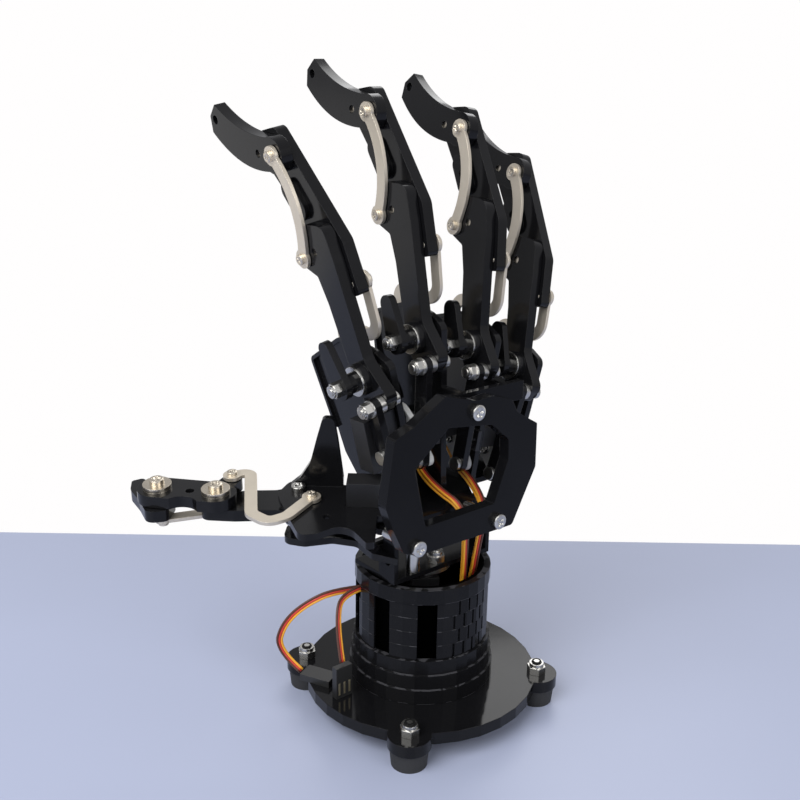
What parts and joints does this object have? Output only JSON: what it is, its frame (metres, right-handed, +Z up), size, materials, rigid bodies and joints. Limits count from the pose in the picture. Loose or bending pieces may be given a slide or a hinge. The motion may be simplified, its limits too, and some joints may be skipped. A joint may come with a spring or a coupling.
{
  "type": "robotic hand",
  "caption": "Free-standing right-hand bionic robot hand: linkage fingers and thumb moved by servos on a palm frame, on a turntable drum with a round footed base.",
  "frame": {"origin": "centre of the four feet on the floor", "axes": "+Z up, -Y the back of the hand, +Y the palm, -X the thumb side"},
  "size_m": [0.1838, 0.1337, 0.2658],
  "materials": {
    "black_acrylic": "gloss",
    "nickel": "satin",
    "zinc": "bright",
    "foot_rubber": "matte",
    "horn_aluminium": "satin",
    "servo_case": "satin",
    "lead_insulation": "satin",
    "plug_plastic": "satin"
  },
  "bodies": {
    "base": {"base_plate": "black_acrylic", "rubber_feet": "foot_rubber", "foot_bolts": "zinc", "drum_rings": "black_acrylic", "slotted_rings": "black_acrylic", "base_servo": "servo_case", "loop_lead": "lead_insulation", "plug_lead": "lead_insulation", "lead_plugs": "plug_plastic"},
    "hand": {"palm_frame": "black_acrylic", "wrist_bracket": "black_acrylic", "yaw_horn": "horn_aluminium", "back_plate": "black_acrylic", "back_screws": "zinc", "standoffs": "zinc", "finger_servos": "servo_case", "knuckle_bolts": "zinc", "knuckle_arms": "black_acrylic", "thumb_bracket": "black_acrylic", "index_bracket": "black_acrylic", "middle_bracket": "black_acrylic", "ring_bracket": "black_acrylic", "little_bracket": "black_acrylic", "palm_lead_a": "lead_insulation", "palm_lead_b": "lead_insulation"},
    "index_proximal": {"index_proximal": "black_acrylic"},
    "index_middle": {"index_middle": "black_acrylic"},
    "index_distal": {"index_distal": "black_acrylic"},
    "index_rear_link": {"index_rear_link": "nickel"},
    "index_front_link": {"index_front_link": "nickel"},
    "index_push_rod": {"index_push_rod": "black_acrylic"},
    "index_horn": {"index_horn": "black_acrylic"},
    "middle_proximal": {"middle_proximal": "black_acrylic"},
    "middle_middle": {"middle_middle": "black_acrylic"},
    "middle_distal": {"middle_distal": "black_acrylic"},
    "middle_rear_link": {"middle_rear_link": "nickel"},
    "middle_front_link": {"middle_front_link": "nickel"},
    "middle_push_rod": {"middle_push_rod": "black_acrylic"},
    "middle_horn": {"middle_horn": "black_acrylic"},
    "ring_proximal": {"ring_proximal": "black_acrylic"},
    "ring_middle": {"ring_middle": "black_acrylic"},
    "ring_distal": {"ring_distal": "black_acrylic"},
    "ring_rear_link": {"ring_rear_link": "nickel"},
    "ring_front_link": {"ring_front_link": "nickel"},
    "ring_push_rod": {"ring_push_rod": "black_acrylic"},
    "ring_horn": {"ring_horn": "black_acrylic"},
    "little_proximal": {"little_proximal": "black_acrylic"},
    "little_middle": {"little_middle": "black_acrylic"},
    "little_distal": {"little_distal": "black_acrylic"},
    "little_rear_link": {"little_rear_link": "nickel"},
    "little_front_link": {"little_front_link": "nickel"},
    "little_push_rod": {"little_push_rod": "black_acrylic"},
    "little_horn": {"little_horn": "black_acrylic"},
    "thumb_proximal": {"thumb_proximal": "black_acrylic"},
    "thumb_middle": {"thumb_middle": "black_acrylic"},
    "thumb_tip": {"thumb_tip": "black_acrylic"},
    "thumb_rear_link": {"thumb_rear_link": "nickel"},
    "thumb_front_link": {"thumb_front_link": "nickel"},
    "thumb_push_rod": {"thumb_push_rod": "black_acrylic"},
    "thumb_horn": {"thumb_horn": "black_acrylic"}
  },
  "joints": [
    {"name": "wrist_yaw", "type": "hinge", "parent": "base", "child": "hand", "pos_m": [0, 0, 0.06], "axis": [0, 0, 1], "range_deg": [-45, 45]},
    {"name": "index_knuckle", "type": "hinge", "parent": "hand", "child": "index_proximal", "pos_m": [-0.02872, 0.0038, 0.14731], "axis": [-0.9781, 0, -0.2079], "range_deg": [0, 45]},
    {"name": "index_middle_hinge", "type": "hinge", "parent": "index_proximal", "child": "index_middle", "pos_m": [-0.03724, 0.02088, 0.19462], "axis": [-0.9781, 0, -0.2079], "range_deg": [-1, 32.48]},
    {"name": "index_tip_hinge", "type": "hinge", "parent": "index_middle", "child": "index_distal", "pos_m": [-0.04473, 0.04741, 0.22982], "axis": [-0.9781, 0, -0.2079], "range_deg": [-1, 21.7]},
    {"name": "index_rear_pivot", "type": "hinge", "parent": "index_middle", "child": "index_rear_link", "pos_m": [-0.02636, 0.00748, 0.18427], "axis": [-0.9781, 0, -0.2079], "range_deg": [-38.49, 1]},
    {"name": "index_front_pivot", "type": "hinge", "parent": "index_proximal", "child": "index_front_link", "pos_m": [-0.04006, 0.02755, 0.19104], "axis": [-0.9781, 0, -0.2079], "range_deg": [-1, 32.76]},
    {"name": "index_rod_pivot", "type": "hinge", "parent": "index_proximal", "child": "index_push_rod", "pos_m": [-0.02556, -0.00639, 0.13967], "axis": [-0.9781, 0, -0.2079], "range_deg": [-46, 1]},
    {"name": "index_servo_pivot", "type": "hinge", "parent": "hand", "child": "index_horn", "pos_m": [-0.01217, 0.00086, 0.1305], "axis": [-0.9781, 0, -0.2079], "range_deg": [-1, 46]},
    {"name": "middle_knuckle", "type": "hinge", "parent": "hand", "child": "middle_proximal", "pos_m": [-0.002, 0.0038, 0.15964], "axis": [-0.9991, 0, -0.0419], "range_deg": [0, 45]},
    {"name": "middle_middle_hinge", "type": "hinge", "parent": "middle_proximal", "child": "middle_middle", "pos_m": [-0.00255, 0.01792, 0.20866], "axis": [-0.9991, 0, -0.0419], "range_deg": [-1, 32.48]},
    {"name": "middle_tip_hinge", "type": "hinge", "parent": "middle_middle", "child": "middle_distal", "pos_m": [-0.00413, 0.0422, 0.24617], "axis": [-0.9991, 0, -0.0419], "range_deg": [-1, 21.7]},
    {"name": "middle_rear_pivot", "type": "hinge", "parent": "middle_middle", "child": "middle_rear_link", "pos_m": [0.00649, 0.0053, 0.19585], "axis": [-0.9991, 0, -0.0419], "range_deg": [-38.49, 1]},
    {"name": "middle_front_pivot", "type": "hinge", "parent": "middle_proximal", "child": "middle_front_link", "pos_m": [-0.00595, 0.02475, 0.20601], "axis": [-0.9991, 0, -0.0419], "range_deg": [-1, 32.76]},
    {"name": "middle_rod_pivot", "type": "hinge", "parent": "middle_proximal", "child": "middle_push_rod", "pos_m": [-0.00014, -0.00588, 0.15098], "axis": [-0.9991, 0, -0.0419], "range_deg": [-46, 1]},
    {"name": "middle_servo_pivot", "type": "hinge", "parent": "hand", "child": "middle_horn", "pos_m": [-0.0025, 0.00637, 0.11912], "axis": [-0.9991, 0, -0.0419], "range_deg": [-1, 46]},
    {"name": "ring_knuckle", "type": "hinge", "parent": "hand", "child": "ring_proximal", "pos_m": [0.02819, 0.0038, 0.15208], "axis": [-0.9925, 0, 0.1219], "range_deg": [0, 45]},
    {"name": "ring_middle_hinge", "type": "hinge", "parent": "ring_proximal", "child": "ring_middle", "pos_m": [0.03575, 0.01481, 0.20132], "axis": [-0.9925, 0, 0.1219], "range_deg": [-1, 32.48]},
    {"name": "ring_tip_hinge", "type": "hinge", "parent": "ring_middle", "child": "ring_distal", "pos_m": [0.0405, 0.03669, 0.24002], "axis": [-0.9925, 0, 0.1219], "range_deg": [-1, 21.7]},
    {"name": "ring_rear_pivot", "type": "hinge", "parent": "ring_middle", "child": "ring_rear_link", "pos_m": [0.04249, 0.00305, 0.18644], "axis": [-0.9925, 0, 0.1219], "range_deg": [-38.49, 1]},
    {"name": "ring_front_pivot", "type": "hinge", "parent": "ring_proximal", "child": "ring_front_link", "pos_m": [0.03202, 0.02179, 0.19969], "axis": [-0.9925, 0, 0.1219], "range_deg": [-1, 32.76]},
    {"name": "ring_rod_pivot", "type": "hinge", "parent": "ring_proximal", "child": "ring_push_rod", "pos_m": [0.02854, -0.00531, 0.14264], "axis": [-0.9925, 0, 0.1219], "range_deg": [-46, 1]},
    {"name": "ring_servo_pivot", "type": "hinge", "parent": "hand", "child": "ring_horn", "pos_m": [0.02112, 0.00688, 0.11256], "axis": [-0.9925, 0, 0.1219], "range_deg": [-1, 46]},
    {"name": "little_knuckle", "type": "hinge", "parent": "hand", "child": "little_proximal", "pos_m": [0.05458, 0.0038, 0.13888], "axis": [-0.9759, 0, 0.2181], "range_deg": [0, 45]},
    {"name": "little_middle_hinge", "type": "hinge", "parent": "little_proximal", "child": "little_middle", "pos_m": [0.06595, 0.01538, 0.1829], "axis": [-0.9759, 0, 0.2181], "range_deg": [-1, 31.72]},
    {"name": "little_tip_hinge", "type": "hinge", "parent": "little_middle", "child": "little_distal", "pos_m": [0.07443, 0.03746, 0.22085], "axis": [-0.9759, 0, 0.2181], "range_deg": [-1, 21.84]},
    {"name": "little_rear_pivot", "type": "hinge", "parent": "little_middle", "child": "little_rear_link", "pos_m": [0.07122, 0.00354, 0.1675], "axis": [-0.9759, 0, 0.2181], "range_deg": [-38.46, 1]},
    {"name": "little_front_pivot", "type": "hinge", "parent": "little_proximal", "child": "little_front_link", "pos_m": [0.06208, 0.02235, 0.18161], "axis": [-0.9759, 0, 0.2181], "range_deg": [-1, 31.91]},
    {"name": "little_rod_pivot", "type": "hinge", "parent": "little_proximal", "child": "little_push_rod", "pos_m": [0.05402, -0.00536, 0.1295], "axis": [-0.9759, 0, 0.2181], "range_deg": [-46, 1]},
    {"name": "little_servo_pivot", "type": "hinge", "parent": "hand", "child": "little_horn", "pos_m": [0.04406, 0.00855, 0.10193], "axis": [-0.9759, 0, 0.2181], "range_deg": [-1, 46]},
    {"name": "thumb_knuckle", "type": "hinge", "parent": "hand", "child": "thumb_proximal", "pos_m": [-0.04458, 0.0265, 0.08869], "axis": [0.083, 0.096, -0.9919], "range_deg": [0, 35]},
    {"name": "thumb_middle_hinge", "type": "hinge", "parent": "thumb_proximal", "child": "thumb_middle", "pos_m": [-0.07209, 0.04516, 0.08971], "axis": [0.083, 0.096, -0.9919], "range_deg": [-1, 8.97]},
    {"name": "thumb_tip_hinge", "type": "hinge", "parent": "thumb_middle", "child": "thumb_tip", "pos_m": [-0.08876, 0.06333, 0.09007], "axis": [0.083, 0.096, -0.9919], "range_deg": [-1, 5.6]},
    {"name": "thumb_rear_pivot", "type": "hinge", "parent": "thumb_middle", "child": "thumb_rear_link", "pos_m": [-0.06172, 0.05023, 0.09964], "axis": [0.083, 0.096, -0.9919], "range_deg": [-17.88, 1]},
    {"name": "thumb_front_pivot", "type": "hinge", "parent": "thumb_proximal", "child": "thumb_front_link", "pos_m": [-0.06919, 0.04849, 0.08674], "axis": [0.083, 0.096, -0.9919], "range_deg": [-1, 8.46]},
    {"name": "thumb_rod_pivot", "type": "hinge", "parent": "thumb_proximal", "child": "thumb_push_rod", "pos_m": [-0.03529, 0.03079, 0.0914], "axis": [0.083, 0.096, -0.9919], "range_deg": [-36, 1]},
    {"name": "thumb_servo_pivot", "type": "hinge", "parent": "hand", "child": "thumb_horn", "pos_m": [-0.02998, 0.00367, 0.08549], "axis": [0.083, 0.096, -0.9919], "range_deg": [-1, 36]}
  ],
  "couplings": [
    {"joint": "index_middle_hinge", "follows": "index_knuckle", "ratio": 0.69944},
    {"joint": "index_tip_hinge", "follows": "index_knuckle", "ratio": 0.4601},
    {"joint": "index_rear_pivot", "follows": "index_knuckle", "ratio": -0.83307},
    {"joint": "index_front_pivot", "follows": "index_knuckle", "ratio": 0.70572},
    {"joint": "index_rod_pivot", "follows": "index_knuckle", "ratio": -1},
    {"joint": "index_servo_pivot", "follows": "index_knuckle", "ratio": 1},
    {"joint": "middle_middle_hinge", "follows": "middle_knuckle", "ratio": 0.69944},
    {"joint": "middle_tip_hinge", "follows": "middle_knuckle", "ratio": 0.4601},
    {"joint": "middle_rear_pivot", "follows": "middle_knuckle", "ratio": -0.83307},
    {"joint": "middle_front_pivot", "follows": "middle_knuckle", "ratio": 0.70572},
    {"joint": "middle_rod_pivot", "follows": "middle_knuckle", "ratio": -1},
    {"joint": "middle_servo_pivot", "follows": "middle_knuckle", "ratio": 1},
    {"joint": "ring_middle_hinge", "follows": "ring_knuckle", "ratio": 0.69944},
    {"joint": "ring_tip_hinge", "follows": "ring_knuckle", "ratio": 0.4601},
    {"joint": "ring_rear_pivot", "follows": "ring_knuckle", "ratio": -0.83307},
    {"joint": "ring_front_pivot", "follows": "ring_knuckle", "ratio": 0.70572},
    {"joint": "ring_rod_pivot", "follows": "ring_knuckle", "ratio": -1},
    {"joint": "ring_servo_pivot", "follows": "ring_knuckle", "ratio": 1},
    {"joint": "little_middle_hinge", "follows": "little_knuckle", "ratio": 0.68264},
    {"joint": "little_tip_hinge", "follows": "little_knuckle", "ratio": 0.46321},
    {"joint": "little_rear_pivot", "follows": "little_knuckle", "ratio": -0.83245},
    {"joint": "little_front_pivot", "follows": "little_knuckle", "ratio": 0.6869},
    {"joint": "little_rod_pivot", "follows": "little_knuckle", "ratio": -1},
    {"joint": "little_servo_pivot", "follows": "little_knuckle", "ratio": 1},
    {"joint": "thumb_middle_hinge", "follows": "thumb_knuckle", "ratio": 0.22772},
    {"joint": "thumb_tip_hinge", "follows": "thumb_knuckle", "ratio": 0.13144},
    {"joint": "thumb_rear_pivot", "follows": "thumb_knuckle", "ratio": -0.48241},
    {"joint": "thumb_front_pivot", "follows": "thumb_knuckle", "ratio": 0.21303},
    {"joint": "thumb_rod_pivot", "follows": "thumb_knuckle", "ratio": -1},
    {"joint": "thumb_servo_pivot", "follows": "thumb_knuckle", "ratio": 1}
  ]
}
